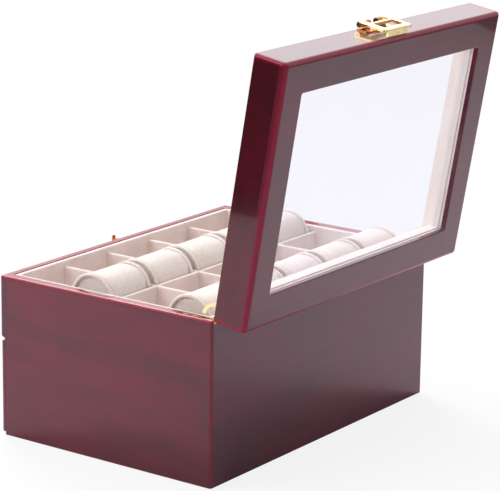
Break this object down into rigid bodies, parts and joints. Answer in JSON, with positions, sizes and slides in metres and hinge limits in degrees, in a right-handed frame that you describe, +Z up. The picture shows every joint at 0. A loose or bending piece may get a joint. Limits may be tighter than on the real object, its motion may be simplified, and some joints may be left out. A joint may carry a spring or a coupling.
{
  "type": "watch box with drawer",
  "caption": "Lacquered wooden watch box with a hinged glass lid and ring latch over a lined tray of watch pillows, and a lined drawer below that slides out at the front.",
  "frame": {"origin": "middle of the felt face under the case, on the ground", "axes": "+X to the right seen from the drawer side, -Y out of the drawer's front, +Y to the hinges, +Z up; the lid stands open"},
  "size_m": [0.29, 0.2819, 0.3331],
  "materials": {
    "lacquered_wood": "high-gloss lacquer over a red-brown figured veneer",
    "inner_wood": "plain stained board",
    "velvet": "off-white velvet over thin board",
    "pillow_cloth": "off-white suede cloth over a soft core",
    "felt": "dark felt",
    "brass": "polished",
    "steel": "plain",
    "clear_glass": "clear polished"
  },
  "bodies": {
    "case": {"back_panel": "lacquered_wood", "base_felt": "felt", "bottom_board": "inner_wood", "case_brass_screws": "brass", "catch_plate": "brass", "drawer_glides": "inner_wood", "hinge_case_leaf_left": "brass", "hinge_case_leaf_right": "brass", "hinge_pins": "brass", "left_side_panel": "lacquered_wood", "right_side_panel": "lacquered_wood", "tray_board": "inner_wood", "tray_cross_divider_1": "velvet", "tray_cross_divider_2": "velvet", "tray_cross_divider_3": "velvet", "tray_cross_divider_4": "velvet", "tray_floor_pad": "velvet", "tray_lining_back": "velvet", "tray_lining_front": "velvet", "tray_lining_left": "velvet", "tray_lining_right": "velvet", "tray_long_divider": "velvet", "tray_pillow_back_1": "pillow_cloth", "tray_pillow_back_2": "pillow_cloth", "tray_pillow_back_3": "pillow_cloth", "tray_pillow_back_4": "pillow_cloth", "tray_pillow_back_5": "pillow_cloth", "tray_pillow_front_1": "pillow_cloth", "tray_pillow_front_2": "pillow_cloth", "tray_pillow_front_3": "pillow_cloth", "tray_pillow_front_4": "pillow_cloth", "tray_pillow_front_5": "pillow_cloth", "upper_front_panel": "lacquered_wood"},
    "lid": {"glass_bead": "velvet", "glass_pane": "clear_glass", "hinge_lid_leaf_left": "brass", "hinge_lid_leaf_right": "brass", "latch_base_plate": "brass", "latch_pins": "brass", "lid_back_wall": "lacquered_wood", "lid_brass_screws": "brass", "lid_front_wall": "lacquered_wood", "lid_left_wall": "lacquered_wood", "lid_linings": "velvet", "lid_right_wall": "lacquered_wood", "lid_top_frame": "lacquered_wood"},
    "latch": {"latch_ring": "brass"},
    "drawer": {"drawer_back": "inner_wood", "drawer_bottom": "inner_wood", "drawer_dividers": "velvet", "drawer_floor_pad": "velvet", "drawer_front": "lacquered_wood", "drawer_inner_front": "inner_wood", "drawer_knob": "brass", "drawer_left_side": "inner_wood", "drawer_pillows_back_row": "pillow_cloth", "drawer_pillows_front_row": "pillow_cloth", "drawer_right_side": "inner_wood", "knob_rosette": "brass", "knob_screw": "steel"}
  },
  "joints": [
    {"name": "lid_hinge", "type": "hinge", "parent": "case", "child": "lid", "pos_m": [0, 0.1012, 0.1276], "axis": [1, 0, 0], "range_deg": [0, 99.4]},
    {"name": "latch_pivot", "type": "hinge", "parent": "lid", "child": "latch", "pos_m": [0, 0.13715, 0.33066], "axis": [1, 0, 0], "range_deg": [0, 180]},
    {"name": "drawer_slide", "type": "slide", "parent": "case", "child": "drawer", "axis": [0, -1, 0], "range_m": [0, 0.15]}
  ]
}
